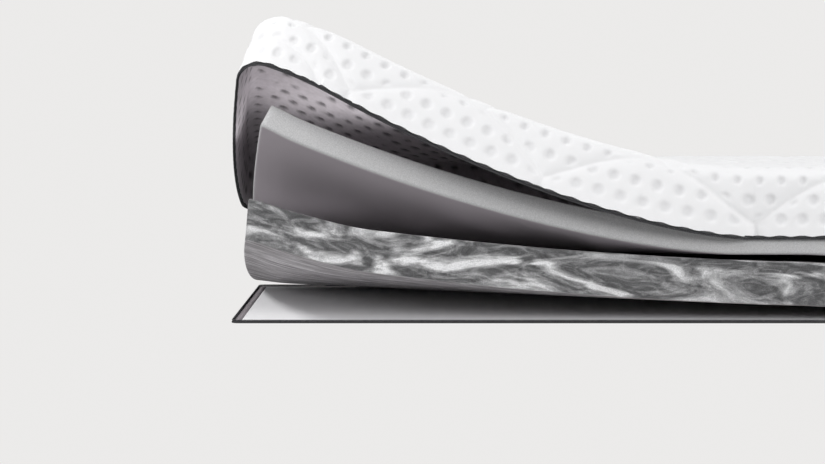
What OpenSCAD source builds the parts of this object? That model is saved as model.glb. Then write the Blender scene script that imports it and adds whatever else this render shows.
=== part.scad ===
// Memory foam mattress with a zip-off quilted cover, shown opened from one corner.
// Its plies lie in a stack on the base panel: support core, comfort layer, cover.
// Each ply is drawn flat and then bent: its free corner (low X, low Y) is peeled up
// along a diagonal fold, and its far end (high X) stays down, where the zip is closed.

/* [Mattress] */
// Length over the base panel
mattress_l = 2000; // [1600:10:2400]
// Width over the base panel
mattress_w = 900; // [700:10:1200]

/* [Foam] */
// Thickness of the support core
core_t = 100; // [80:1:160]
// Thickness of the comfort layer
comfort_t = 60; // [40:1:80]
// Plan radius of the foam corners
foam_corner_r = 7; // [5:1:12]
// Room between the foam and the inside of the cover wall
foam_ease = 5.5; // [4:0.5:8]
// Radius of the foam's softened edges, away from the cover's top edge
foam_edge_r = 5; // [3:0.5:7]

/* [Cover] */
// Thickness of the outer knit
knit_t = 2; // [1.5:0.1:2.6]
// Thickness of the wadding under the knit
wadding_t = 3.4; // [2.8:0.1:5]
// Thickness of the lining
lining_t = 1.2; // [0.8:0.1:1.5]
// Radius of the edge between top and sides
cover_edge_r = 30; // [22:1:36]
// Plan radius of the cover corners at the closed end
closed_corner_r = 26; // [24:1:34]
// Plan radius of the cover corners at the open end
open_corner_r = 90; // [70:1:100]

/* [Base panel] */
// Thickness of the under fabric
base_fabric_t = 2; // [1.5:0.1:3]
// Thickness of the white facing and of its border band
facing_t = 1; // [0.8:0.1:1.5]
// Width of the border band
border_w = 17; // [10:1:30]
// Plan radius of the base panel corners
base_corner_r = 18; // [12:1:24]

/* [Zip] */
// Radius of each coil of the zip
coil_r = 1.2; // [1:0.1:1.6]
// Thickness of the zip tape
tape_t = 1.2; // [0.8:0.1:1.4]
// Height of the tape between its binding and its coil
tape_h = 2.4; // [2.2:0.1:4]
// Height of the bound edges
binding_h = 3.4; // [3:0.1:6]
// Length of a slider
slider_l = 14; // [10:1:18]
// Length of a pull tab, from its pin
pull_l = 28; // [20:1:40]

/* [Peel] */
// Rise of the support core at its free corner
core_peel = 120; // [90:1:140]
// Rise of the comfort layer at its free corner
comfort_peel = 294; // [270:1:310]
// Rise of the cover at its free corner
cover_peel = 420; // [390:1:440]
// Height of the opened cover's rim above the flat part of the comfort layer
rim_over_foam = 31.9; // [28:0.1:42]

/* [Hidden] */

// Gap between two plies that lie on each other
ply_gap = 0.5;
// Gap between the sewn plies of the cover, and between sewn strips
seam_gap = 0.2;
// Gap between the strips sewn along the cover's bent rim
strip_gap = 0.5;
// Gap between the two coils where the zip is closed
coil_gap = 0.4;

// The cover wall and the heights of the stack, from the floor up
cover_wall = knit_t + wadding_t + lining_t + 2 * seam_gap;
foam_inset = cover_wall + foam_ease;
base_top = base_fabric_t + facing_t;
core_z = base_top + ply_gap;
comfort_z = core_z + core_t + ply_gap;
cover_top = comfort_z + comfort_t + ply_gap + cover_wall;

// The zip, from the floor up: binding, tape, coil, gap, then the same on the cover
zip_inset = 1.8;
binding_w = 4;
base_coil_z = binding_h + tape_h + coil_r;
zip_line_z = base_coil_z + coil_r + coil_gap / 2;
cover_coil_z = base_coil_z + 2 * coil_r + coil_gap;
cover_tape_z = cover_coil_z + coil_r;
cover_binding_z = cover_tape_z + tape_h;
cover_rim_z = cover_binding_z + binding_h + strip_gap;
// Height that the opened cover stands above its closed place
cover_float = comfort_z + comfort_t + rim_over_foam - cover_binding_z;

// How a ply is bent. Lengths run from the free end (s) and from the free side (t).
CORNER = 0;       // rise of the corner along the diagonal fold
REACH = 1;        // where the fold line meets the free side
FOLD_W = 2;       // where the fold line meets the free end
CURL = 3;         // power of the rise: 1 is a crease, 2 a round bend
SIDE_RISE = 4;    // rise of the free side
BACK_RISE = 5;    // rise of the far side
RISE_FROM = 6;    // where the side rise starts, from the free end
RISE_FULL = 7;    // where it is complete
FLICK = 8;        // extra upturn at the very corner
TIP = 9;          // rise of the whole free end, where it laps the base's bound edge
DRAW = 10;        // how far the peeled corner is drawn back along the length
SLIDE = 11;       // how far the ply has slid towards the free end
HELD = 12;        // 1 where the zip holds the far end, so only the free stretch slides
LEAN = 13;        // how far the peeled corner's end face leans out over its foot, as a slope
NOSE = 14;        // how far the free end rolls over and down

flick_reach = 320;
flick_w = 900;
tip_reach = 110;
nose_reach = 277;
nose_w = 1500;
foam_slide = 18;
comfort_slide = 12;
foam_closed_from = mattress_l - 100;
cover_closed_from = mattress_l - 30;
open_from = mattress_l - 700;
cover_open_from = mattress_l - 470;
tip_rise = max(0, base_coil_z + coil_r + 1.2 - core_z);
// Keeps the comfort layer clear of the core's rise at the far side
comfort_back = 6;

core_bend = [core_peel, 1520, 1250, 1.85, 34, 0, foam_closed_from, open_from, 29, tip_rise, 37,
    foam_slide, 0, 0.166, 0];
comfort_bend = [comfort_peel, 1185, 1040, 1.51, 53, comfort_back, foam_closed_from, open_from, 0, tip_rise,
    39, comfort_slide, 0, 0, 0];
cover_bend = [cover_peel, 1214, 1029, 1.5, cover_float, cover_float, cover_closed_from, cover_open_from,
    0, 0, 8, 25, 1, 0, -46];

function ease(u) = let (c = max(0, min(1, u))) c * c * (3 - 2 * c);
// Two equal arcs, one bending up and one bending back
function ramp(u) = let (c = max(0, min(1, u))) c < 0.5 ? 2 * c * c : 1 - 2 * (1 - c) * (1 - c);

// How much of the side rise is reached: 0 in the closed stretch, 1 in the open one
function opened(b, s) =
    let (u = (b[RISE_FROM] - s) / (b[RISE_FROM] - b[RISE_FULL]))
    b[HELD] == 1 ? ramp(u) : ease(u);

// Height of a bent ply above its flat place
function rise(b, s, t) =
    let (
        fold = max(0, 1 - s / b[REACH] - t / b[FOLD_W]),
        side = b[SIDE_RISE] + (b[BACK_RISE] - b[SIDE_RISE]) * t / mattress_w
    )
    b[CORNER] * pow(fold, b[CURL])
    + side * opened(b, s)
    + b[FLICK] * ease(1 - s / flick_reach - t / flick_w)
    + b[TIP] * ease((tip_reach - s) / tip_reach)
    + b[NOSE] * pow(max(0, 1 - s / nose_reach - t / nose_w), 2);

// Point of a ply's own surface, whose length across the fold is kept as it bends
function laid(b, s, t, z) =
    let (
        fold = max(0, 1 - s / b[REACH] - t / b[FOLD_W]),
        steep = norm([1 / b[REACH], 1 / b[FOLD_W]]),
        order = 2 * b[CURL] - 1,
        shrink = 0.5 * pow(b[CORNER] * b[CURL], 2) * steep * pow(fold, order) / order
    )
    [
        s - mattress_l / 2 + shrink / b[REACH] / steep + b[DRAW] * fold * fold
            - b[SLIDE] * (b[HELD] == 1 ? opened(b, s) : 1),
        t - mattress_w / 2 + shrink / b[FOLD_W] / steep,
        z + rise(b, s, t)
    ];

// Point at height w over a ply's own surface, square to it
function bent(b, z, s, t, w) =
    let (
        step = 1,
        along = laid(b, s + step, t, z) - laid(b, s - step, t, z),
        across = laid(b, s, t + step, z) - laid(b, s, t - step, z),
        up = cross(along, across),
        fold = max(0, 1 - s / b[REACH] - t / b[FOLD_W])
    )
    laid(b, s, t, z) + w * (up / norm(up) - [b[LEAN] * pow(fold, 3), 0, 0]);

// Points of a rounded rectangle's outline, counter-clockwise from the free side.
// Every outline has the same number of points, so outlines can be joined one to one.
long_n = 28;
end_n = 8;
corner_n = 4;
function arc(cx, cy, r, from) =
    [for (k = [1:corner_n - 1]) let (a = from + 90 * k / corner_n) [cx + r * cos(a), cy + r * sin(a)]];
function outline(inset, r_open, r_closed) =
    let (
        ro = max(r_open - inset, 6),
        rc = max(r_closed - inset, 6),
        s0 = inset,
        s1 = mattress_l - inset,
        t0 = inset,
        t1 = mattress_w - inset
    )
    concat(
        [for (k = [0:long_n]) [s0 + ro + (s1 - rc - s0 - ro) * k / long_n, t0]],
        arc(s1 - rc, t0 + rc, rc, -90),
        [for (k = [0:end_n]) [s1, t0 + rc + (t1 - t0 - 2 * rc) * k / end_n]],
        arc(s1 - rc, t1 - rc, rc, 0),
        [for (k = [0:long_n]) [s1 - rc - (s1 - rc - s0 - ro) * k / long_n, t1]],
        arc(s0 + ro, t1 - ro, ro, 90),
        [for (k = [0:end_n]) [s0, t1 - ro - (t1 - t0 - 2 * ro) * k / end_n]],
        arc(s0 + ro, t0 + ro, ro, 180)
    );
side_n = end_n + 1 + 2 * (corner_n - 1);
outline_n = 2 * (long_n + 1) + 2 * side_n;

// The faces between two outlines. Inner and outer faces of a ply are cut along the same
// diagonals, so that plies of one cover lie parallel.
function band(lower, upper, outer = false) = [
    for (k = [0:outline_n - 1]) let (n = (k + 1) % outline_n)
        each outer
            ? [[lower + k, upper + k, lower + n], [lower + n, upper + k, upper + n]]
            : [[lower + k, upper + k, upper + n], [lower + k, upper + n, lower + n]]
];
// Closes an outline that has shrunk to a slot, seen from its upper side
function slot_faces(first) =
    let (back = long_n + 1 + side_n)
    concat(
        [for (k = [0:long_n - 1]) each [
            [first + k, first + back + long_n - k, first + k + 1],
            [first + k + 1, first + back + long_n - k, first + back + long_n - k - 1]
        ]],
        [for (k = [long_n + 1:long_n + side_n]) [first + long_n, first + k + 1, first + k]],
        [for (k = [back + long_n + 1:outline_n - 1])
            [first + back + long_n, first + (k + 1) % outline_n, first + k]]
    );
function flipped(faces) = [for (f = faces) [f[0], f[2], f[1]]];

// A solid whose outlines follow a list of [inset, height] pairs. A closed list makes a strip
// that runs all round; an open one starts and ends in the middle and makes a slab or a shell.
// The profile may differ in the closed stretch; it then passes smoothly from one to the other.
module bent_solid(b, z, r_open, r_closed, profile, closed = false, far_profile = []) {
    points = [for (i = [0:len(profile) - 1]) let (p = profile[i]) each len(far_profile) == 0
        ? [for (q = outline(p[0], r_open, r_closed)) bent(b, z, q[0], q[1], p[1])]
        : let (
            near = outline(p[0], r_open, r_closed),
            far = outline(far_profile[i][0], r_open, r_closed)
        )
        [for (k = [0:outline_n - 1]) let (
            f = 1 - opened(b, near[k][0]),
            q = near[k] + f * (far[k] - near[k])
        ) bent(b, z, q[0], q[1], p[1] + f * (far_profile[i][1] - p[1]))]
    ];
    rows = len(profile);
    faces = concat(
        [for (i = [0:rows - 2]) each band(i * outline_n, (i + 1) * outline_n, i >= rows / 2)],
        closed ? band((rows - 1) * outline_n, 0)
            : concat(flipped(slot_faces(0)), slot_faces((rows - 1) * outline_n))
    );
    polyhedron(points, faces, convexity = 6);
}

// Insets of the outlines that carry the flat top and bottom of a ply
middle_insets = [mattress_w / 2 - 20, mattress_w * 0.3, mattress_w * 0.14];
function reversed(list) = [for (i = [len(list) - 1:-1:0]) list[i]];

// A foam slab, bent about its middle, with softened edges. In the closed stretch the top edge
// may be rounder, as the cover presses it.
module foam_slab(b, z, thick, far_top_r) {
    function half(r) = [
        for (i = middle_insets) [i, thick / 2],
        [foam_inset + r, thick / 2],
        [foam_inset + r * (1 - sin(45)), thick / 2 - r * (1 - cos(45))],
        [foam_inset, thick / 2 - r]
    ];
    lower = [for (p = half(foam_edge_r)) [p[0], -p[1]]];
    bent_solid(b, z + thick / 2, foam_corner_r + foam_inset, foam_corner_r + foam_inset,
        concat(lower, reversed(half(foam_edge_r))), far_profile = concat(lower, reversed(half(far_top_r))));
}

// One ply of the cover: an open box of one thickness, from depth d0 to depth d1 in the wall
module cover_ply(d0, d1) {
    rim = cover_rim_z - cover_top;
    function side(d) = [
        for (i = middle_insets) [i, -d],
        [cover_edge_r, -d],
        [cover_edge_r - (cover_edge_r - d) * sin(45), -cover_edge_r + (cover_edge_r - d) * cos(45)],
        [d, -cover_edge_r],
        [d, (rim - cover_edge_r) / 2],
        [d, rim]
    ];
    bent_solid(cover_bend, cover_top, open_corner_r, closed_corner_r, concat(side(d1), reversed(side(d0))));
}

// A strip of rectangular section that runs round the cover's rim
module rim_strip(inset, width, z0, z1) {
    bent_solid(cover_bend, cover_top, open_corner_r, closed_corner_r,
        [[inset, z0 - cover_top], [inset, z1 - cover_top],
        [inset + width, z1 - cover_top], [inset + width, z0 - cover_top]], closed = true);
}

// A rounded rectangle lying flat, set in from the base panel's outline
module base_outline(inset, r = base_corner_r) {
    l = mattress_l - 2 * inset;
    w = mattress_w - 2 * inset;
    rr = max(r - inset, 1);
    square([l - 2 * rr, w], center = true);
    square([l, w - 2 * rr], center = true);
    for (x = [-1, 1], y = [-1, 1]) translate([x * (l / 2 - rr), y * (w / 2 - rr)]) circle(rr, $fn = 48);
}

module base_frame(outer, inner, z, h) {
    translate([0, 0, z]) difference() {
        linear_extrude(h) base_outline(outer);
        translate([0, 0, -1]) linear_extrude(h + 2) base_outline(inner);
    }
}

module base_fabric() {
    color("whitesmoke") linear_extrude(base_fabric_t) base_outline(binding_w + seam_gap);
}

module base_facing() {
    color("white") translate([0, 0, base_fabric_t])
        linear_extrude(facing_t) base_outline(binding_w + 2 * seam_gap + border_w);
}

module base_border() {
    color("rosybrown") base_frame(binding_w + seam_gap, binding_w + seam_gap + border_w, base_fabric_t, facing_t);
}

module base_binding() {
    color("dimgray") base_frame(0, binding_w, 0, binding_h);
}

module base_zip_tape() {
    color("darkslategray")
        base_frame(zip_inset - tape_t / 2, zip_inset + tape_t / 2, binding_h, tape_h);
}

// The coil sewn along the top of the tape: straight rods joined by quarter rings
module base_zip_coil() {
    l = mattress_l - 2 * zip_inset;
    w = mattress_w - 2 * zip_inset;
    r = base_corner_r - zip_inset;
    color("dimgray") translate([0, 0, base_coil_z]) {
        for (y = [-1, 1]) translate([-l / 2 + r, y * w / 2, 0])
            rotate([0, 90, 0]) cylinder(r = coil_r, h = l - 2 * r, $fn = 32);
        for (x = [-1, 1]) translate([x * l / 2, -w / 2 + r, 0])
            rotate([-90, 0, 0]) cylinder(r = coil_r, h = w - 2 * r, $fn = 32);
        for (x = [0, 1], y = [0, 1])
            translate([(2 * x - 1) * (l / 2 - r), (2 * y - 1) * (w / 2 - r), 0])
                rotate([0, 0, x == y ? x * -180 + 180 : x * -90 + (1 - x) * 90])
                    rotate_extrude(angle = 90, $fn = 48) translate([r, 0]) circle(coil_r, $fn = 32);
    }
}

// Crimped stops on the outer face of the tape, at the middle of the closed end
module zip_stops() {
    stop_l = 5;
    stop_t = 0.9;
    stop_apart = 40;
    color("silver") for (y = [-1, 1])
        translate([mattress_l / 2 - zip_inset + tape_t / 2, y * stop_apart / 2 - stop_l / 2, binding_h + 0.1])
            cube([stop_t, stop_l, tape_h - 0.4]);
}

module support_core() {
    color("gray") foam_slab(core_bend, core_z, core_t, foam_edge_r);
}

module comfort_layer() {
    color("silver") foam_slab(comfort_bend, comfort_z, comfort_t, max(foam_edge_r, cover_edge_r - foam_inset));
}

module cover_knit() {
    color("white") cover_ply(0, knit_t);
}

module cover_wadding() {
    color("ivory") cover_ply(knit_t + seam_gap, knit_t + seam_gap + wadding_t);
}

module cover_lining() {
    color("thistle") cover_ply(cover_wall - lining_t, cover_wall);
}

module cover_binding() {
    color("dimgray") rim_strip(0, cover_wall, cover_binding_z, cover_binding_z + binding_h);
}

module cover_zip_tape() {
    color("darkslategray")
        rim_strip(zip_inset - tape_t / 2, tape_t, cover_tape_z + strip_gap, cover_binding_z - strip_gap);
}

module cover_zip_coil() {
    sides = 6;
    ring = [for (k = [0:sides - 1]) let (a = -360 * k / sides)
        [zip_inset + coil_r * sin(a), cover_coil_z - cover_top + coil_r * cos(a)]];
    color("dimgray")
        bent_solid(cover_bend, cover_top, open_corner_r, closed_corner_r, reversed(ring), closed = true);
}

// A blank label sewn to the outside of the far side, in the closed stretch
module care_label() {
    label_l = 36;
    label_h = 30;
    label_t = 0.6;
    label_off = 0.3;
    color("white") translate([
        cover_closed_from - mattress_l / 2 + 6,
        mattress_w / 2 + label_off,
        cover_rim_z + 1
    ]) cube([label_l, label_t, label_h]);
}

// A slider astride the base's coil, at the end of the opened stretch. Its channel holds the coil
// with room to run, two lips hold it down, and two ears on its outer face carry the pull's pin.
slider_x = cover_closed_from - mattress_l / 2 - 130;
slider_play = 0.6;
plate_t = 1.2;
lip_gap = tape_t / 2 + 0.4;
lip_h = 1;
channel = coil_r + slider_play;
slider_base_z = binding_h + 0.6;
slider_roof_z = base_coil_z + channel;
pin_r = 0.9;
eye_play = 0.05;
eye_r = 2;
pin_out = channel + plate_t + eye_r + 0.4;
ear_h = 0.8;
eye_h = 2.8;
eye_z = base_coil_z - eye_h / 2;

module slider() {
    translate([-slider_l / 2, 0, 0]) {
        for (side = [-1, 1]) {
            translate([0, side > 0 ? channel : -channel - plate_t, slider_base_z])
                cube([slider_l, plate_t, slider_roof_z + plate_t - slider_base_z]);
            translate([0, side > 0 ? lip_gap : -channel, slider_base_z])
                cube([slider_l, channel - lip_gap, lip_h]);
        }
        translate([0, -channel, slider_roof_z]) cube([slider_l, 2 * channel, plate_t]);
    }
    for (z = [eye_z - seam_gap - ear_h, eye_z + eye_h + seam_gap])
        translate([-pin_r - 0.6, -pin_out - pin_r, z])
            cube([2 * (pin_r + 0.6), pin_out + pin_r - channel, ear_h]);
    translate([0, -pin_out, eye_z - seam_gap - ear_h])
        cylinder(r = pin_r, h = eye_h + 2 * (seam_gap + ear_h), $fn = 32);
}

// A pull tab whose eye turns on the slider's upright pin, lying back along the closed zip
module pull() {
    tab_t = 1.6;
    tab_h = 7;
    neck = 7;
    difference() {
        union() {
            translate([0, -pin_out, eye_z]) cylinder(r = eye_r, h = eye_h, $fn = 48);
            translate([0, -pin_out - tab_t / 2, eye_z]) cube([neck + 1, tab_t, eye_h]);
            translate([neck, -pin_out - tab_t / 2, eye_z + eye_h / 2 - tab_h / 2])
                cube([pull_l - neck, tab_t, tab_h]);
        }
        translate([0, -pin_out, eye_z - 1]) cylinder(r = pin_r + eye_play, h = eye_h + 2, $fn = 48);
        translate([pull_l - 5, -pin_out - tab_t, eye_z + eye_h / 2])
            rotate([-90, 0, 0]) cylinder(r = 1.8, h = 2 * tab_t, $fn = 32);
    }
}

module at_front() translate([slider_x, -mattress_w / 2 + zip_inset, 0]) children();
module at_back() translate([slider_x, mattress_w / 2 - zip_inset, 0]) mirror([0, 1, 0]) children();

module front_slider() {
    color("slategray") at_front() slider();
}

module front_pull() {
    color("gray") at_front() pull();
}

module back_slider() {
    color("slategray") at_back() slider();
}

module back_pull() {
    color("gray") at_back() pull();
}

base_fabric();
base_facing();
base_border();
base_binding();
base_zip_tape();
base_zip_coil();
zip_stops();
support_core();
comfort_layer();
cover_knit();
cover_wadding();
cover_lining();
cover_binding();
cover_zip_tape();
cover_zip_coil();
care_label();
front_slider();
front_pull();
back_slider();
back_pull();
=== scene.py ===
"""Looks of the memory foam mattress: every soft piece is modelled flat, as it is cut and sewn,
and is then laid over the same bent surfaces that the CAD plies follow."""

import math

import bmesh
import bpy
import numpy as np
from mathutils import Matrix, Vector


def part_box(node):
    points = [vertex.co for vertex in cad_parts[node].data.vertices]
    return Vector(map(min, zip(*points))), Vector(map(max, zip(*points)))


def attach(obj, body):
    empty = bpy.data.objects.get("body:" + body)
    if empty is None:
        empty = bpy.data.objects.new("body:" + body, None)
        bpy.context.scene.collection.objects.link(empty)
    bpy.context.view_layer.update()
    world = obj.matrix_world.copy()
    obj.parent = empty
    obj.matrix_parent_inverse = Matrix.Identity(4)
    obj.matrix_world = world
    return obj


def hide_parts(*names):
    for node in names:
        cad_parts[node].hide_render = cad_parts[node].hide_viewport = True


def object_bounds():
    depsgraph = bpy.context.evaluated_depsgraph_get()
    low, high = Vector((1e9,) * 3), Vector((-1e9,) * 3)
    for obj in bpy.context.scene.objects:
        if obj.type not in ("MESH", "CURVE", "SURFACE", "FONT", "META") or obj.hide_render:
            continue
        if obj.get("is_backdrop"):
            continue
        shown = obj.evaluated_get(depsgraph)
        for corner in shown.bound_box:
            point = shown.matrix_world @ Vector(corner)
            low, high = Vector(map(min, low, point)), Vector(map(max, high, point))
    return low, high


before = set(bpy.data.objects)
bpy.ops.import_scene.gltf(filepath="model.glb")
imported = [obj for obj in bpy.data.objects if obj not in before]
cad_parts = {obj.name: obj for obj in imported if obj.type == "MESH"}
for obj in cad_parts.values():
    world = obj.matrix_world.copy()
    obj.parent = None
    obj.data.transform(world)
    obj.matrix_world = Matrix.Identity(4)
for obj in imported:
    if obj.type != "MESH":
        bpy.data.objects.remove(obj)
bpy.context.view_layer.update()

# Sizes of the flat mattress, in metres. Length and width come from the base's bound edge.
base_low, base_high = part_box("base_binding")
L, W = base_high[0] - base_low[0], base_high[1] - base_low[1]
CORE_T, COMFORT_T = 0.100, 0.060
CORE_Z, COMFORT_Z, COVER_TOP = 0.0035, 0.104, 0.1715
BASE_RIM, TAPE_H, COIL_R = 0.0034, 0.0024, 0.0012
BASE_COIL_Z = BASE_RIM + TAPE_H + COIL_R
COVER_COIL_Z = BASE_COIL_Z + 2 * COIL_R + 0.0004
BIND_Z = COVER_COIL_Z + COIL_R + TAPE_H
RIM_Z = BIND_Z + BASE_RIM + 0.0005
WALL = 0.007
EDGE_R = 0.030
OPEN_R, CLOSED_R = 0.090, 0.026
FOAM_INSET = 0.0125
FLOAT = 0.1825
BASE_R = 0.018
BASE_T, FACING_T = 0.002, 0.001
PANEL_INSET, FACING_INSET = 0.0042, 0.0214
TAPE_INSET, TAPE_T = 0.0012, 0.0012
COIL_INSET = 0.0018
SAG_LENGTH, SAG_WIDTH = 0.277, 1.5


# ---------------------------------------------------------------- how a ply is bent
class Bend:
    """The shape that a flat ply is bent to: its lifted corner, its raised sides and its lie."""

    def __init__(self, corner, reach, fold_w, curl, side, back, rise_from, rise_full,
                 flick=0.0, tip=0.0, draw=0.0, slide=0.0, held=False, lean=0.0, nose=0.0):
        self.corner, self.reach, self.fold_w, self.curl = corner, reach, fold_w, curl
        self.side, self.back, self.rise_from, self.rise_full = side, back, rise_from, rise_full
        self.flick, self.tip, self.draw, self.slide, self.held = flick, tip, draw, slide, held
        self.lean, self.nose = lean, nose

    def opened(self, s):
        """How much of the side rise is reached: 0 in the closed stretch, 1 in the open one."""
        u = np.clip((self.rise_from - s) / (self.rise_from - self.rise_full), 0, 1)
        return np.where(u < 0.5, 2 * u * u, 1 - 2 * (1 - u) ** 2) if self.held else u * u * (3 - 2 * u)


CORE = Bend(corner=0.120, reach=1.520, fold_w=1.250, curl=1.85, side=0.034, back=0.0,
            rise_from=L - 0.1, rise_full=L - 0.7, flick=0.029, tip=0.0059, draw=0.037, slide=0.018,
            lean=0.166)
COMFORT = Bend(corner=0.294, reach=1.185, fold_w=1.040, curl=1.51, side=0.053, back=0.006,
               rise_from=L - 0.1, rise_full=L - 0.7, tip=0.0059, draw=0.039, slide=0.012)
COVER = Bend(corner=0.420, reach=1.214, fold_w=1.029, curl=1.50, side=FLOAT, back=FLOAT,
             rise_from=L - 0.03, rise_full=L - 0.47, draw=0.008, slide=0.025, held=True,
             nose=-0.046)


def ease(u):
    """0 to 1, level at both ends."""
    c = np.clip(u, 0, 1)
    return c * c * (3 - 2 * c)


def laid(b, s, t, z):
    """Where a point of a ply's middle surface, s along and t across, lies in the frame."""
    fold = np.maximum(0, 1 - s / b.reach - t / b.fold_w)
    steep = math.hypot(1 / b.reach, 1 / b.fold_w)
    order = 2 * b.curl - 1
    shrink = 0.5 * (b.corner * b.curl) ** 2 * steep * fold ** order / order
    opened = b.opened(s)
    rise = (b.corner * fold ** b.curl + (b.side + (b.back - b.side) * t / W) * opened
            + b.flick * ease(1 - s / 0.32 - t / 0.9) + b.tip * ease((0.11 - s) / 0.11)
            + b.nose * np.maximum(0, 1 - s / SAG_LENGTH - t / SAG_WIDTH) ** 2)
    x = s - L / 2 + shrink / b.reach / steep + b.draw * fold * fold - b.slide * (opened if b.held else 1)
    return np.stack([x, t - W / 2 + shrink / b.fold_w / steep, z + rise], -1)


def bent(b, z, s, t, w):
    """Points at height w square to a ply's surface; with no bend they lie flat at height z + w."""
    if b is None:
        return np.stack([s - L / 2, t - W / 2, z + w], -1)
    step = 0.001
    along = laid(b, s + step, t, z) - laid(b, s - step, t, z)
    across = laid(b, s, t + step, z) - laid(b, s, t - step, z)
    up = np.cross(along, across)
    up /= np.linalg.norm(up, axis=-1, keepdims=True)
    up[..., 0] -= b.lean * np.maximum(0, 1 - s / b.reach - t / b.fold_w) ** 3
    return laid(b, s, t, z) + w[..., None] * up


# ---------------------------------------------------------------- outlines
def side_point(q, length, r0, r1):
    """Along one side of a rounded rectangle, from the middle of one corner to the middle of the next:
    the distance along it, the depth behind it and the outward direction."""
    quarter = math.pi / 4
    straight = length - r0 - r1
    total = straight + quarter * (r0 + r1)
    run = q * total
    a0 = np.where(r0 > 0, run / np.maximum(r0, 1e-9), 0) - quarter
    a1 = np.where(r1 > 0, (run - quarter * r0 - straight) / np.maximum(r1, 1e-9), 0)
    first, last = run < quarter * r0, run > quarter * r0 + straight
    straight_run = np.where(last, length - r1 + r1 * np.sin(a1), run - quarter * r0 + r0)
    along = np.where(first, r0 + r0 * np.sin(a0), straight_run)
    depth = np.where(first, r0 - r0 * np.cos(a0), np.where(last, r1 - r1 * np.cos(a1), 0))
    n_along = np.where(first, np.sin(a0), np.where(last, np.sin(a1), 0))
    n_out = np.where(first, np.cos(a0), np.where(last, np.cos(a1), 1))
    return along, depth, n_along, n_out


def outline(k, inset, nx, ny, r_open, r_closed):
    """Point and outward direction at place k of 2(nx + ny) round the flat outline, set in by inset."""
    ro, rc = np.maximum(r_open - inset, 0), np.maximum(r_closed - inset, 0)
    lx, ly = L - 2 * inset, W - 2 * inset
    out = np.zeros(k.shape + (4,))
    sides = ((0, nx, lx, ro, rc), (nx, ny, ly, rc, rc),
             (nx + ny, nx, lx, rc, ro), (2 * nx + ny, ny, ly, ro, ro))
    for side, (start, count, length, r0, r1) in enumerate(sides):
        q = (k - start) / count
        a, d, na, no = side_point(q, length, r0, r1)
        here = (q >= 0) & (q < 1)
        if side == 0:
            place = (inset + a, inset + d, na, -no)
        elif side == 1:
            place = (L - inset - d, inset + a, no, na)
        elif side == 2:
            place = (L - inset - a, W - inset - d, -na, no)
        else:
            place = (inset + d, W - inset - a, -no, -na)
        for i in range(4):
            out[..., i] = np.where(here, place[i], out[..., i])
    return out


# ---------------------------------------------------------------- meshes from operators
PACK = 100000   # a grid vertex keeps its column and row as one number, column * PACK + row


def border_place(i, j, nx, ny):
    """Place of the border vertex in column i and row j, counted round the outline."""
    if j == 0:
        return i
    if i == nx:
        return nx + j
    if j == ny:
        return 2 * nx + ny - i
    return 2 * nx + 2 * ny - j


def board(nx, ny, rows, bottom):
    """A grid with rows of faces drawn out from its border, and a second grid below it for a slab.
    Returns the bmesh; layers say where each vertex belongs."""
    bm = bmesh.new()
    bmesh.ops.create_grid(bm, x_segments=nx, y_segments=ny, size=1.0)
    place, row = bm.verts.layers.int.new("place"), bm.verts.layers.int.new("row")
    for v in bm.verts:
        i, j = round((v.co.x + 1) / 2 * nx), round((v.co.y + 1) / 2 * ny)
        v[place] = i * PACK + j
    if bottom:
        low = bmesh.ops.duplicate(bm, geom=bm.verts[:] + bm.edges[:] + bm.faces[:])["geom"]
        faces = [f for f in low if isinstance(f, bmesh.types.BMFace)]
        bmesh.ops.reverse_faces(bm, faces=faces)
        for v in [v for v in low if isinstance(v, bmesh.types.BMVert)]:
            v[row] = -1
    border = [e for e in bm.edges if e.is_boundary and e.verts[0][row] == 0]
    for r in range(1, rows + 1):
        drawn = bmesh.ops.extrude_edge_only(bm, edges=border)["geom"]
        border = [g for g in drawn if isinstance(g, bmesh.types.BMEdge)]
        for v in {v for e in border for v in e.verts}:
            if r == 1:
                v[place] = border_place(*divmod(v[place], PACK), nx, ny)
            v[row] = r
    return bm


def arrays(me):
    """Each vertex's place and row."""
    place, row = np.zeros(len(me.vertices), np.int32), np.zeros(len(me.vertices), np.int32)
    me.attributes["place"].data.foreach_get("value", place)
    me.attributes["row"].data.foreach_get("value", row)
    return place, row


def finish_mesh(me, points, rest, smooth=True):
    """Sets the bent points, and keeps the flat ones for the materials."""
    me.vertices.foreach_set("co", points.astype(np.float32).ravel())
    for name in ("place", "row"):
        if name in me.attributes:
            me.attributes.remove(me.attributes[name])
    at = me.attributes.new("flat", "FLOAT_VECTOR", "POINT")
    at.data.foreach_set("vector", rest.astype(np.float32).ravel())
    me.polygons.foreach_set("use_smooth", [smooth] * len(me.polygons))
    me.update()


def link(name, me, material):
    """An object for a mesh, with its material, in the scene."""
    o = bpy.data.objects.new(name, me)
    bpy.context.scene.collection.objects.link(o)
    me.materials.append(material)
    return o


def slab_section(inner, inset, thick, top_r, low_r, sides, arc):
    """(inset, height) of each row from the middle of the top, over the edge, to the middle of the bottom."""
    turn = [math.pi / 2 * i / arc for i in range(1, arc + 1)]
    half = thick / 2
    rows = [(inner, half)]
    rows += [(inner - (inner - inset - top_r) * f, half) for f in (0.5, 1.0)]
    rows += [(inset + top_r * (1 - math.sin(a)), half - top_r * (1 - math.cos(a))) for a in turn]
    rows += [(inset, half - top_r - (thick - top_r - low_r) * i / sides) for i in range(1, sides + 1)]
    rows += [(inset + low_r * (1 - math.cos(a)), -half + low_r * (1 - math.sin(a))) for a in turn]
    rows += [(inset + low_r + (inner - inset - low_r) * f, -half) for f in (0.5, 1.0)]
    return np.array(rows)


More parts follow.
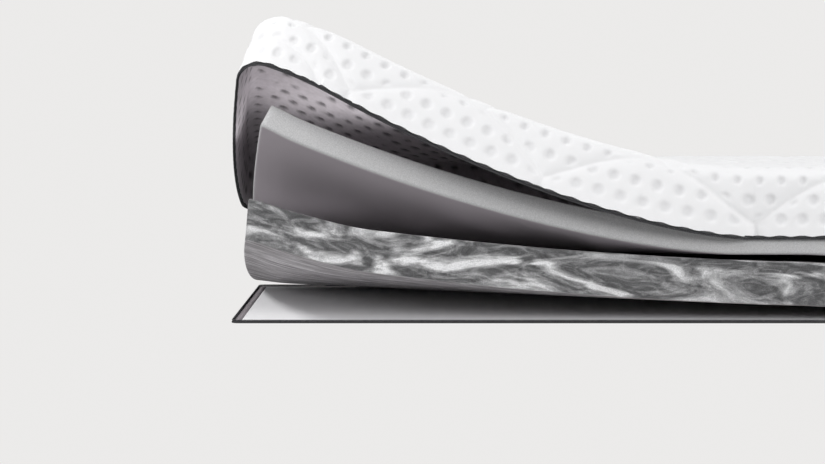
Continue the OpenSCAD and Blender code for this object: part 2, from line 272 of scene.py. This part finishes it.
def slab(name, b, z, thick, inset, corner_r, top_r, low_r, spacing, material, arc=4, far_r=0.0):
    """A foam or fabric slab bent about its middle, with softened edges. Where the cover is closed
    over it, the top edge is pressed to the radius far_r."""
    inner = inset + max(corner_r, top_r, low_r, far_r) + 0.004
    nx, ny = round((L - 2 * inner) / spacing), round((W - 2 * inner) / spacing)
    sides = max(1, round((thick - top_r - low_r) / spacing))
    table = slab_section(inner, inset, thick, top_r, low_r, sides, arc)
    bm = board(nx, ny, len(table) - 1, True)
    me = bpy.data.meshes.new(name)
    bm.to_mesh(me)
    bm.free()
    place, row = arrays(me)
    ring = row > 0
    i, j = place // PACK, place % PACK
    k, level = np.where(ring, place, 0).astype(float), np.maximum(row, 0)
    round_r = corner_r + inset
    o = outline(k, table[level, 0], nx, ny, round_r, round_r)
    s = np.where(ring, o[:, 0], inner + (L - 2 * inner) * i / nx)
    t = np.where(ring, o[:, 1], inner + (W - 2 * inner) * j / ny)
    w = np.where(ring, table[level, 1], np.where(row < 0, -thick / 2, thick / 2))
    rest = np.stack([s, t, w], -1)
    if far_r > top_r:
        far = slab_section(inner, inset, thick, far_r, low_r, sides, arc)[level]
        o = outline(k, far[:, 0], nx, ny, round_r, round_r)
        f = np.where(ring, 1 - b.opened(s), 0)
        s, t, w = s + f * (o[:, 0] - s), t + f * (o[:, 1] - t), w + f * (far[:, 1] - w)
    finish_mesh(me, bent(b, z + thick / 2, s, t, w), rest)
    bm = bmesh.new()
    bm.from_mesh(me)
    bmesh.ops.remove_doubles(bm, verts=bm.verts, dist=1e-5)
    bm.to_mesh(me)
    bm.free()
    return link(name, me, material)


def strip(name, b, z, profile, count, r_open, r_closed, material, wave=0.0, ridge=0.0):
    """A closed strip that runs all round the outline; profile is a list of (inset, height)."""
    nx = round(count * L / (L + W) / 2)
    ny = round(count / 2) - nx
    bm = bmesh.new()
    bmesh.ops.create_circle(bm, cap_ends=False, segments=2 * (nx + ny), radius=1.0)
    row = bm.verts.layers.int.new("row")
    place = bm.verts.layers.int.new("place")
    total = 2 * (nx + ny)
    for v in bm.verts:
        v[place] = round(math.atan2(v.co.y, v.co.x) / (2 * math.pi) * total) % total
    edges = bm.edges[:]
    for r in range(1, len(profile)):
        drawn = bmesh.ops.extrude_edge_only(bm, edges=edges)["geom"]
        edges = [g for g in drawn if isinstance(g, bmesh.types.BMEdge)]
        for v in {v for e in edges for v in e.verts}:
            v[row] = r
    drawn = bmesh.ops.extrude_edge_only(bm, edges=edges)["geom"]
    for v in [g for g in drawn if isinstance(g, bmesh.types.BMVert)]:
        v[row] = 0
    me = bpy.data.meshes.new(name)
    bm.to_mesh(me)
    bm.free()
    k, r = arrays(me)
    table = np.array(profile)
    centre = table.mean(0)
    e, w = table[r, 0].copy(), table[r, 1].copy()
    if ridge:
        grow = 1 + ridge * np.where(k % 2 == 0, 1.0, -1.0)
        e, w = centre[0] + (e - centre[0]) * grow, centre[1] + (w - centre[1]) * grow
    o = outline(k.astype(float), e, nx, ny, r_open, r_closed)
    if wave:
        w = w + wave * rim_wave(k / total)
    rest = np.stack([k / total * 2 * (L + W), e, w], -1)
    finish_mesh(me, bent(b, z, o[:, 0], o[:, 1], w), rest)
    bm = bmesh.new()
    bm.from_mesh(me)
    bmesh.ops.remove_doubles(bm, verts=bm.verts, dist=1e-6)
    bmesh.ops.recalc_face_normals(bm, faces=bm.faces)
    bm.to_mesh(me)
    bm.free()
    return link(name, me, material)


# ---------------------------------------------------------------- quilting
PITCH, ROW = 0.0493, 0.045          # dimples: along a row, and from row to row
DIMPLE_START = 0.346                # where the rows of dimples are counted from
DIMPLE_R, DIMPLE_D = 0.0150, 0.0040
RIM_WAVES, RIM_WAVE = 116, 0.0014
ARCH, ARCH_START, ARCHES = 0.457, 0.306, 13
TOP_START, TOP_DEEP = 0.120, 0.22
SWAY, SWAY_W = 0.914, 0.16
CORNER_ARC, CORNER_ARC_W = 0.08, 0.144


def rim_wave(turn):
    """The gathers of the rim: 1 to -1, over one turn round the outline."""
    return np.cos(2 * math.pi * RIM_WAVES * turn)


def disc(u, v, phase):
    """Distance to the nearest centre of a staggered grid of dimples, and that centre."""
    n = np.round(v / ROW)
    shift = phase + np.where(n % 2 == 0, PITCH / 2, 0)
    cu = shift + np.round((u - shift) / PITCH) * PITCH
    return np.hypot(u - cu, v - n * ROW), cu, n * ROW


def cup(x):
    """Depth of a dimple, 1 at its middle and 0 past its radius."""
    return 1 - ease((x - 0.42) / 0.58)


def groove(x):
    """A seam line: a narrow cut with full shoulders either side."""
    return 0.0032 * np.exp(-np.abs(x) / 0.0040) + 0.0026 * np.exp(-(x / 0.017) ** 2)


def top_lines(s, t):
    """Distance to the nearest quilting line on the top panel."""
    d = np.full(s.shape, 9.0)
    for tt in (t, W - t):
        ph = (s - TOP_START) / ARCH
        crest = np.abs(np.sin(np.pi * ph))
        c = TOP_DEEP * crest ** 1.6 - 0.004
        slope = TOP_DEEP * 1.6 * crest ** 0.6 * np.abs(np.cos(np.pi * ph)) * np.pi / ARCH
        d = np.minimum(d, np.abs(tt - c) / np.sqrt(1 + slope ** 2))
    for sign in (1, -1):
        ph = 2 * np.pi * (s - 0.35) / SWAY
        c = W / 2 + sign * SWAY_W * np.sin(ph)
        slope = SWAY_W * 2 * np.pi / SWAY * np.cos(ph)
        d = np.minimum(d, np.abs(t - c) / np.sqrt(1 + slope ** 2))
    return d


def wall_lines(p, round_, l):
    """Distance to the nearest quilting line on the side: arches, their stems, a low one at the corner."""
    even = L - 0.1
    done = (even - ARCH_START) / ARCH
    left = ARCHES - ARCH_START / ARCH - done
    span = np.where(p < even, ARCH, (round_ - even) / left)
    phase = np.where(p < even, (p - ARCH_START) / ARCH, done + (p - even) / span)
    arch = 0.146 - 0.113 * np.abs(np.sin(np.pi * phase))
    slope = 0.113 * np.pi * np.cos(np.pi * phase) / span
    d = np.abs(l - arch) / np.sqrt(1 + slope ** 2)
    stem = np.abs(phase - np.round(phase)) * span
    d = np.minimum(d, np.where(l > 0.14, stem, 9.0))
    q = np.where(p > round_ / 2, p - round_, p) - CORNER_ARC
    low = 0.101 + 0.058 * (q / CORNER_ARC_W) ** 2
    slope = 2 * 0.058 * q / CORNER_ARC_W ** 2
    return np.minimum(d, np.where(np.abs(q) < 0.16, np.abs(l - low) / np.sqrt(1 + slope ** 2), 9.0))


def quilt(spacing, rim_z, depth, r_open, r_closed, dimple, seam, puff):
    """One skin of the cover, depth behind the outside: a flat top, a rolled edge and walls, with
    dimples and seam lines pressed in. Returns the mesh with its rows, for cutting into pieces."""
    quarter = math.pi / 4
    inner = OPEN_R + 0.010
    nx, ny = round((L - 2 * inner) / spacing), round((W - 2 * inner) / spacing)
    flat_n = max(3, round((inner - EDGE_R) / spacing))
    arc_n = max(6, round(EDGE_R * 2 * quarter / spacing))
    height = COVER_TOP - rim_z - EDGE_R
    wall_n = round(height / spacing)
    level = inner - EDGE_R
    prof = [(inner - level * i / flat_n, -depth, 0.0, 1.0, level * (i / flat_n - 1))
            for i in range(1, flat_n + 1)]
    for i in range(1, arc_n + 1):
        a = math.pi / 2 * i / arc_n
        rr = EDGE_R - depth
        side, up = math.sin(a), math.cos(a)
        prof.append((EDGE_R - rr * side, -EDGE_R + rr * up, side, up, EDGE_R * a))
    for i in range(1, wall_n + 1):
        down = height * i / wall_n
        prof.append((depth, -EDGE_R - down, 1.0, 0.0, EDGE_R * 2 * quarter + down))
    bm = board(nx, ny, len(prof), False)
    me = bpy.data.meshes.new("quilt")
    bm.to_mesh(me)
    bm.free()
    place, row = arrays(me)
    ring = row > 0
    table = np.array([(inner, -depth, 0.0, 1.0, EDGE_R - inner)] + prof)[row]
    i, j = place // PACK, place % PACK
    k = np.where(ring, place, 0).astype(float)
    o = outline(k, table[:, 0], nx, ny, r_open, r_closed)
    s = np.where(ring, o[:, 0], inner + (L - 2 * inner) * i / nx)
    t = np.where(ring, o[:, 1], inner + (W - 2 * inner) * j / ny)
    w = np.where(ring, table[:, 1], -depth)
    l = np.where(ring, table[:, 4], -1.0)
    # distance round the outside, measured so that it equals s along the free side
    saved = 1 - quarter
    long_side = L - saved * (r_open + r_closed)
    lens = [long_side, W - 2 * saved * r_closed, long_side, W - 2 * saved * r_open]
    starts, counts = np.cumsum([0] + lens), [nx, ny, nx, ny]
    edges = np.cumsum([0] + counts)
    p = np.zeros(len(s))
    for n in range(4):
        here = (k >= edges[n]) & (k < edges[n + 1])
        p = np.where(here, starts[n] + (k - edges[n]) / counts[n] * lens[n], p)
    round_ = starts[4]
    p = p + saved * r_open
    # dimples on the top panel
    d, cu, cv = disc(s, t - EDGE_R, DIMPLE_START)
    cv = cv + EDGE_R
    inset_c = np.minimum(np.minimum(cu, L - cu), np.minimum(cv, W - cv))
    low_row = (cv < 0.08) & (cu > 0.07) & (cu < L - 0.06)
    ok = ((inset_c > EDGE_R + 0.033) | low_row) & (cv > EDGE_R + 0.02)
    press = np.where(ok & (l < -0.0225), dimple * DIMPLE_D * cup(d / DIMPLE_R), 0)
    lines = np.where(l < 0.047, top_lines(s, t), 9.0)
    # dimples on the rolled edge and the walls
    whole = round_ / round(round_ / PITCH)
    d, cu, cv = disc(p * PITCH / whole, l, DIMPLE_START)
    big = np.interp(cv, [0, 0.045, 0.09, 0.135], [0.0115, 0.0125, 0.0165, 0.0178])
    deep = np.interp(cv, [0, 0.045, 0.09, 0.135], [0.0042, 0.0042, 0.0036, 0.0030])
    side = ring & (l > -0.0225) & (cv > -0.01) & (cv < 0.15)
    press = press + np.where(side, dimple * deep * cup(d / big), 0)
    lines = np.minimum(lines, np.where(ring & (l > 0.018), wall_lines(p, round_, l), 9.0))
    pressed = press * ease((lines - 0.004) / 0.014)
    out = puff - pressed - seam * groove(lines)
    w_wave = np.where(l > 0.12, ease((l - 0.12) / 0.045) * RIM_WAVE * rim_wave(p / round_), 0)
    h, v = np.where(ring, table[:, 2], 0), np.where(ring, table[:, 3], 1)
    s, t = s + out * h * o[:, 2], t + out * h * o[:, 3]
    w = w + out * v + w_wave
    finish_mesh(me, bent(COVER, COVER_TOP, s, t, w), np.stack([s, t, w], -1))
    # dent: how far each point is pressed into a dimple, 0 to 1; the knit and the lining are darkened by it as
    # painted shade
    dent = me.attributes.new("dent", "FLOAT", "POINT")
    share = np.clip(np.abs(pressed) / DIMPLE_D / abs(dimple), 0, 1)
    dent.data.foreach_set("value", share.astype(np.float32))
    return me, row


def cut(me, rows, keep, name, material):
    """A piece of a skin that keeps the whole skin's shading, so that no join shows."""
    normals = np.zeros(len(me.vertices) * 3, np.float32)
    me.vertex_normals.foreach_get("vector", normals)
    normals = normals.reshape(-1, 3)
    bm = bmesh.new()
    bm.from_mesh(me)
    index = bm.verts.layers.int.new("index")
    for v in bm.verts:
        v[index] = v.index
    gone = [f for f in bm.faces if not keep(max(rows[v[index]] for v in f.verts))]
    bmesh.ops.delete(bm, geom=gone, context="FACES")
    part = bpy.data.meshes.new(name)
    bm.to_mesh(part)
    bm.free()
    where = np.zeros(len(part.vertices), np.int32)
    part.attributes["index"].data.foreach_get("value", where)
    part.attributes.remove(part.attributes["index"])
    part.normals_split_custom_set_from_vertices([tuple(n) for n in normals[where]])
    return link(name, part, material)


# ---------------------------------------------------------------- materials
def material(name, colour, rough=0.9, bump=0.0, scale=900.0, coord="flat", sheen=0.0):
    """A matt material with a fine bump. Returns it with its node tree, shader and coordinates."""
    m = bpy.data.materials.new(name)
    m.use_nodes = True
    nt = m.node_tree
    shader = nt.nodes["Principled BSDF"]
    shader.inputs["Base Color"].default_value = (*colour, 1)
    shader.inputs["Roughness"].default_value = rough
    shader.inputs["Specular IOR Level"].default_value = 0.2
    if sheen:
        shader.inputs["Sheen Weight"].default_value = sheen
    if coord == "flat":
        at = nt.nodes.new("ShaderNodeAttribute")
        at.attribute_name = "flat"
        source = at.outputs["Vector"]
    else:
        source = nt.nodes.new("ShaderNodeTexCoord").outputs["Object"]
    if bump:
        noise = nt.nodes.new("ShaderNodeTexNoise")
        noise.inputs["Scale"].default_value = scale
        noise.inputs["Detail"].default_value = 2.0
        nt.links.new(source, noise.inputs["Vector"])
        b = nt.nodes.new("ShaderNodeBump")
        b.inputs["Strength"].default_value = bump
        b.inputs["Distance"].default_value = 0.001
        nt.links.new(noise.outputs["Fac"], b.inputs["Height"])
        nt.links.new(b.outputs["Normal"], shader.inputs["Normal"])
    return m, nt, shader, source


def ramp(nt, fac, stops):
    """A colour for each stop of fac, blended between them."""
    r = nt.nodes.new("ShaderNodeValToRGB")
    r.color_ramp.elements[0].position, r.color_ramp.elements[1].position = stops[0][0], stops[-1][0]
    for pos, _ in stops[1:-1]:
        r.color_ramp.elements.new(pos)
    for e, (_, c) in zip(r.color_ramp.elements, stops):
        e.color = (*c, 1)
    nt.links.new(fac, r.inputs["Fac"])
    return r.outputs["Color"]


def noise(nt, source, scale, detail=4.0, distortion=0.0, stretch=(1, 1, 1), rough=0.5, offset=(0, 0, 0)):
    """Noise on stretched and shifted coordinates."""
    mp = nt.nodes.new("ShaderNodeMapping")
    mp.inputs["Scale"].default_value = stretch
    mp.inputs["Location"].default_value = offset
    nt.links.new(source, mp.inputs["Vector"])
    n = nt.nodes.new("ShaderNodeTexNoise")
    n.inputs["Scale"].default_value = scale
    n.inputs["Detail"].default_value = detail
    n.inputs["Distortion"].default_value = distortion
    n.inputs["Roughness"].default_value = rough
    nt.links.new(mp.outputs["Vector"], n.inputs["Vector"])
    return n


def attribute(nt, name):
    """A number kept on the mesh's points."""
    at = nt.nodes.new("ShaderNodeAttribute")
    at.attribute_name = name
    return at.outputs["Fac"]


def mix(nt, fac, a, b, kind="MIX"):
    """Two colours blended by fac; each is a number, a colour or another node's output."""
    m = nt.nodes.new("ShaderNodeMix")
    m.data_type, m.blend_type = "RGBA", kind
    for socket, value in (("Factor", fac), ("A", a), ("B", b)):
        kinds = ("VALUE",) if socket == "Factor" else ("RGBA",)
        s = [i for i in m.inputs if i.name == socket and i.type in kinds][0]
        if isinstance(value, (int, float)):
            s.default_value = value
        elif isinstance(value, tuple):
            s.default_value = (*value, 1)
        else:
            nt.links.new(value, s)
    return [o for o in m.outputs if o.type == "RGBA"][0]


def grey(value):
    return (value, value, value)


def below(nt, source, height):
    """1 on the part of a ply that lies lower than height in its flat shape."""
    split = nt.nodes.new("ShaderNodeSeparateXYZ")
    nt.links.new(source, split.inputs[0])
    low = nt.nodes.new("ShaderNodeMath")
    low.operation = "LESS_THAN"
    nt.links.new(split.outputs["Z"], low.inputs[0])
    low.inputs[1].default_value = height
    return low.outputs[0], split


def white_knit():
    """Quilted knit, with painted shade: a little greyer down in its dimples, where shade falls."""
    m, nt, shader, _ = material("white_knit", (0.89, 0.89, 0.90), 0.95, 0.25, 1100.0, sheen=0.1)
    # painted shade: the knit is darkened down in each dimple, by how deep it is pressed
    cloth = mix(nt, attribute(nt, "dent"), (0.89, 0.89, 0.90), (0.78, 0.78, 0.79))
    nt.links.new(cloth, shader.inputs["Base Color"])
    return m


def mauve_lining():
    """Cloudy mauve cloth, with painted shade: dark down in the recesses where the dimples push through."""
    m, nt, shader, source = material("mauve_lining", (0.58, 0.54, 0.57), 0.95, 0.15, 700.0)
    cloud = noise(nt, source, 60.0, 5.0)
    cloth = ramp(nt, cloud.outputs["Fac"], [(0.3, (0.54, 0.502, 0.53)), (0.7, (0.64, 0.596, 0.63))])
    # painted shade: the lining is darkened in each dimple recess, by how deep it is pressed
    cloth = mix(nt, attribute(nt, "dent"), cloth, (0.20, 0.185, 0.195))
    nt.links.new(cloth, shader.inputs["Base Color"])
    return m


def comfort_foam():
    """Fine grey foam, with a mauve skin on its underside."""
    m, nt, shader, source = material("comfort_foam", (0.36, 0.36, 0.375), 1.0, 0.5, 900.0)
    cells = noise(nt, source, 420.0, 3.0, rough=0.7)
    foam = ramp(nt, cells.outputs["Fac"], [(0.25, (0.42, 0.42, 0.425)), (0.75, (0.66, 0.66, 0.665))])
    under, _ = below(nt, source, -0.029)
    nt.links.new(mix(nt, under, foam, (0.52, 0.475, 0.51)), shader.inputs["Base Color"])
    return m


def marbled_foam():
    """Dark foam with pale swirls in patches, and pale drawn-out streaks on its underside, partly the foam's
    own streaked skin and partly a painted reflection of the white facing below it.
    """
    m, nt, shader, source = material("core_foam", (0.2, 0.2, 0.21), 1.0, 0.4, 700.0)
    swirl = noise(nt, source, 3.6, 8.0, 2.2, (1.0, 1.0, 3.4), 0.55)
    patch = noise(nt, source, 2.1, 2.0, 0.6, (1.0, 1.0, 1.5), 0.5, (0.35, 0.0, 0.2))
    fine = noise(nt, source, 13.0, 7.0, 2.2, (1.0, 1.0, 3.0), 0.6)
    grain = noise(nt, source, 420.0, 2.0)
    flow = ramp(nt, swirl.outputs["Fac"], [(0.47, grey(0.0)), (0.55, grey(0.30)), (0.64, grey(1.0))])
    where = ramp(nt, patch.outputs["Fac"], [(0.40, grey(0.10)), (0.56, grey(1.0))])
    dark = ramp(nt, fine.outputs["Fac"],
                [(0.34, (0.085, 0.085, 0.087)), (0.50, (0.135, 0.135, 0.138)), (0.68, (0.30, 0.30, 0.305))])
    under, split = below(nt, source, -0.0485)
    along = ramp(nt, split.outputs["X"], [(0.08, grey(0.0)), (0.16, grey(0.95)), (0.40, grey(0.95)),
                                          (0.50, grey(0.1)), (0.93, grey(0.1)), (1.0, grey(0.6))])
    veil = mix(nt, 1.0, flow, mix(nt, 1.0, where, along, "LIGHTEN"), "MULTIPLY")
    marble = mix(nt, veil, dark, (0.82, 0.82, 0.83))
    specks = ramp(nt, grain.outputs["Fac"], [(0.3, grey(0.80)), (0.7, grey(1.2))])
    marble = mix(nt, 1.0, marble, specks, "MULTIPLY")
    # underside streaks: partly the foam's own streaked skin, partly painted reflection of the white base
    # facing below, made pale to stand in for light
    streak = noise(nt, source, 9.0, 8.0, 1.2, (1.0, 7.0, 1.0), 0.6)
    drawn = ramp(nt, streak.outputs["Fac"],
                 [(0.36, (0.30, 0.28, 0.295)), (0.52, (0.52, 0.50, 0.515)), (0.64, (0.85, 0.83, 0.845))])
    nt.links.new(mix(nt, under, marble, drawn), shader.inputs["Base Color"])
    return m


knit = white_knit()
lining = mauve_lining()
grey_foam = comfort_foam()
core_foam = marbled_foam()
band = material("mauve_band", (0.30, 0.275, 0.29), 0.95, 0.2, 600.0)[0]
dark_tape = material("dark_tape", (0.055, 0.055, 0.058), 0.85, 0.3, 1500.0)[0]
coil_mat = material("zip_coil", (0.06, 0.06, 0.065), 0.5)[0]
under = material("under_fabric", (0.72, 0.72, 0.74), 0.95, 0.2, 600.0)[0]
label_mat = material("blank_label", (0.85, 0.85, 0.86), 0.6)[0]
metal = material("zip_metal", (0.09, 0.09, 0.10), 0.35, coord="object")[0]
metal.node_tree.nodes["Principled BSDF"].inputs["Metallic"].default_value = 0.7

# ---------------------------------------------------------------- the base panel
base = slab("base_panel", None, 0.0, BASE_T, PANEL_INSET, 0.014, 0.0006, 0.0006, 0.02, under, arc=2)
facing = slab("base_white_facing", None, BASE_T, FACING_T, FACING_INSET, 0.004, 0.0003, 0.0003, 0.012,
              knit, arc=1)
band_end, band_top = FACING_INSET - 0.0002, BASE_T + FACING_T
band_section = [(PANEL_INSET, BASE_T), (PANEL_INSET, band_top - 0.0001),
                (band_end, band_top), (band_end, BASE_T)]
border = strip("base_mauve_border", None, 0.0, band_section, 500, BASE_R, BASE_R, band)


def rounded(inset, width, low, high, r=0.0009, n=2):
    """Section of a sewn tape, with softened corners."""
    pts = []
    for cx, cz, a0 in ((inset + r, low + r, 180), (inset + r, high - r, 90), (inset + width - r, high - r, 0),
                       (inset + width - r, low + r, -90)):
        for i in range(n + 1):
            a = math.radians(a0 + 90 * (1 - i / n))
            pts.append((cx + r * math.cos(a), cz + r * math.sin(a)))
    return pts


def bead(inset, z, r, n=6):
    """Section of a zip coil."""
    turn = [2 * math.pi * i / n for i in range(n)]
    return [(inset + r * math.cos(a), z + r * math.sin(a)) for a in turn]


BEAD_R = COIL_R * 0.93
base_bind = strip("base_bound_edge", None, 0.0, rounded(0.0, 0.004, 0.0, BASE_RIM), 700,
                  BASE_R, BASE_R, dark_tape)
base_tape = strip("base_zip_tape_woven", None, 0.0,
                  rounded(TAPE_INSET, TAPE_T, BASE_RIM, BASE_RIM + TAPE_H, 0.0004, 1), 700,
                  BASE_R, BASE_R, dark_tape)
base_coil = strip("base_zip_coil_teeth", None, 0.0, bead(COIL_INSET, BASE_COIL_Z, BEAD_R), 2400,
                  BASE_R, BASE_R, coil_mat, ridge=0.08)

# ---------------------------------------------------------------- the foam
step = 0.012
core = slab("marbled_support_core", CORE, CORE_Z, CORE_T, FOAM_INSET, 0.007, 0.003, 0.003, step, core_foam)
comfort = slab("grey_comfort_layer", COMFORT, COMFORT_Z, COMFORT_T, FOAM_INSET, 0.007, 0.0035, 0.0085, step,
               grey_foam, far_r=EDGE_R - FOAM_INSET)

# ---------------------------------------------------------------- the cover
skin, rows = quilt(0.0042, RIM_Z, 0.0, OPEN_R, CLOSED_R, 1.2, 1.05, 0.0018)
SEAM_ROW = 3
panel = cut(skin, rows, lambda r: r <= SEAM_ROW, "quilted_cover_top", knit)
walls = cut(skin, rows, lambda r: r > SEAM_ROW, "quilted_cover_sides", knit)
bpy.data.meshes.remove(skin)
inside, rows = quilt(0.008, RIM_Z, WALL, OPEN_R, CLOSED_R, -0.45, -0.35, 0.0)
bm = bmesh.new()
bm.from_mesh(inside)
bmesh.ops.reverse_faces(bm, faces=bm.faces)
bm.to_mesh(inside)
bm.free()
inner_skin = link("cover_lining_skin", inside, lining)

BIND_LOW = BIND_Z - COVER_TOP
binding = strip("cover_bound_rim", COVER, COVER_TOP,
                rounded(-0.0008, 0.0085, BIND_LOW, BIND_LOW + 0.0040, 0.0012), 1400,
                OPEN_R, CLOSED_R, dark_tape, wave=RIM_WAVE)
cover_tape = strip("cover_zip_tape_woven", COVER, COVER_TOP,
                   rounded(TAPE_INSET, TAPE_T, BIND_LOW - TAPE_H, BIND_LOW + 0.0006, 0.0004, 1), 900,
                   OPEN_R, CLOSED_R, dark_tape)
cover_coil = strip("cover_zip_coil_teeth", COVER, COVER_TOP,
                   bead(COIL_INSET, COVER_COIL_Z - COVER_TOP, BEAD_R), 2400,
                   OPEN_R, CLOSED_R, coil_mat, ridge=0.08)

# ---------------------------------------------------------------- the label
low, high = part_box("care_label")
bm = bmesh.new()
bmesh.ops.create_cube(bm, size=1.0)
bmesh.ops.subdivide_edges(bm, edges=bm.edges[:], cuts=6, use_grid_fill=True)
for v in bm.verts:
    u = [v.co[i] + 0.5 for i in range(3)]
    v.co = [low[i] + (high[i] - low[i]) * u[i] for i in range(3)]
    v.co.y += 0.0012 * math.sin(u[0] * 5.5) * (1 - u[2])
me = bpy.data.meshes.new("blank_care_label")
bm.to_mesh(me)
bm.free()
flat = np.array([v.co for v in me.vertices])
finish_mesh(me, flat, flat, False)
label = link("blank_care_label", me, label_mat)

# ---------------------------------------------------------------- how the pieces belong
BELONGS = (
    (base, "base", ["base_fabric"], "under_fabric"),
    (facing, "base", ["base_facing"], "white_knit"),
    (border, "base", ["base_border"], "mauve_fabric"),
    (base_bind, "base", ["base_binding"], "dark_tape"),
    (base_tape, "base", ["base_zip_tape"], "dark_tape"),
    (base_coil, "base", ["base_zip_coil"], "zip_coil"),
    (core, "core", ["support_core"], "core_foam"),
    (comfort, "comfort", ["comfort_layer"], "comfort_foam"),
    (walls, "cover", ["cover_knit", "cover_wadding"], "white_knit"),
    (panel, "cover", [], "white_knit"),
    (inner_skin, "cover", ["cover_lining"], "mauve_fabric"),
    (binding, "cover", ["cover_binding"], "dark_tape"),
    (cover_tape, "cover", ["cover_zip_tape"], "dark_tape"),
    (cover_coil, "cover", ["cover_zip_coil"], "zip_coil"),
    (label, "cover", ["care_label"], "label"),
)
for piece, body, nodes, slot in BELONGS:
    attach(piece, body)
    if nodes:
        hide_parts(*nodes)
for name in ("zip_stops", "front_slider", "front_pull", "back_slider", "back_pull"):
    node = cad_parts[name]
    node.data.materials.clear()
    node.data.materials.append(metal)

# ---------------------------------------------------------------- floor, camera and light
BACK = (0.836, 0.828, 0.820)


def by_ray(nt, seen, other, out):
    """What the camera sees, and what everything else is lit by."""
    path = nt.nodes.new("ShaderNodeLightPath")
    m = nt.nodes.new("ShaderNodeMixShader")
    nt.links.new(path.outputs["Is Camera Ray"], m.inputs[0])
    nt.links.new(other.outputs[0], m.inputs[1])
    nt.links.new(seen.outputs[0], m.inputs[2])
    nt.links.new(m.outputs[0], out.inputs["Surface"])


world = bpy.data.worlds.new("studio")
bpy.context.scene.world = world
world.use_nodes = True
nt = world.node_tree
nt.nodes.clear()
out = nt.nodes.new("ShaderNodeOutputWorld")
seen, other = nt.nodes.new("ShaderNodeBackground"), nt.nodes.new("ShaderNodeBackground")
seen.inputs["Color"].default_value = (*BACK, 1)
other.inputs["Color"].default_value = (1.0, 1.0, 1.0, 1)
other.inputs["Strength"].default_value = 0.3
by_ray(nt, seen, other, out)

me = bpy.data.meshes.new("studio_floor")
bm = bmesh.new()
bmesh.ops.create_grid(bm, x_segments=1, y_segments=1, size=60.0)
bm.to_mesh(me)
bm.free()
floor_mat = bpy.data.materials.new("studio_floor")
floor_mat.use_nodes = True
nt = floor_mat.node_tree
nt.nodes.clear()
out = nt.nodes.new("ShaderNodeOutputMaterial")
seen, other = nt.nodes.new("ShaderNodeEmission"), nt.nodes.new("ShaderNodeBsdfDiffuse")
seen.inputs["Color"].default_value = (*BACK, 1)
other.inputs["Color"].default_value = (0.45, 0.45, 0.45, 1)
by_ray(nt, seen, other, out)
floor = link("studio_floor", me, floor_mat)
floor.location.z = -0.0005
floor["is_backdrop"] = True


def area(name, place, aim, size, power):
    """A white panel light at place, turned to aim."""
    light = bpy.data.lights.new(name, "AREA")
    light.shape, light.size, light.size_y = "RECTANGLE", size[0], size[1]
    light.energy = power
    o = bpy.data.objects.new(name, light)
    bpy.context.scene.collection.objects.link(o)
    o.location = place
    o.rotation_euler = (Vector(aim) - Vector(place)).to_track_quat("-Z", "Y").to_euler()
    o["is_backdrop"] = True
    return o


area("key", (-3.2, -1.0, 2.85), (-0.9, 0.0, 0.0), (0.8, 0.8), 75)
area("left_low", (-4.0, -1.2, 0.9), (-0.6, 0.0, 0.2), (1.2, 1.2), 18)
area("front_high", (-0.3, -3.6, 3.6), (0.0, 0.0, 0.2), (3.0, 2.0), 24)
area("right_front", (3.0, -4.0, 1.6), (0.3, 0.0, 0.2), (2.0, 1.6), 126)
area("back", (3.0, 3.0, 3.0), (0.2, 0.2, 0.2), (2.0, 2.0), 105)
inner = area("inside", (-0.80, -0.18, 0.41), (-0.82, -0.17, 1.0), (0.16, 0.40), 0.27)
inner.visible_camera = False

cam = bpy.data.cameras.new("camera")
cam.lens, cam.sensor_width = 93.9, 36.0
cam.clip_end = 200
camera = bpy.data.objects.new("camera", cam)
bpy.context.scene.collection.objects.link(camera)
camera.location = (-0.5852, -5.341, 0.5318)
camera.rotation_euler = (math.radians(90 - 3.775), 0, 0)
bpy.context.scene.camera = camera
camera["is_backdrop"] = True
bpy.context.scene.view_settings.view_transform = "Standard"

low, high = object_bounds()
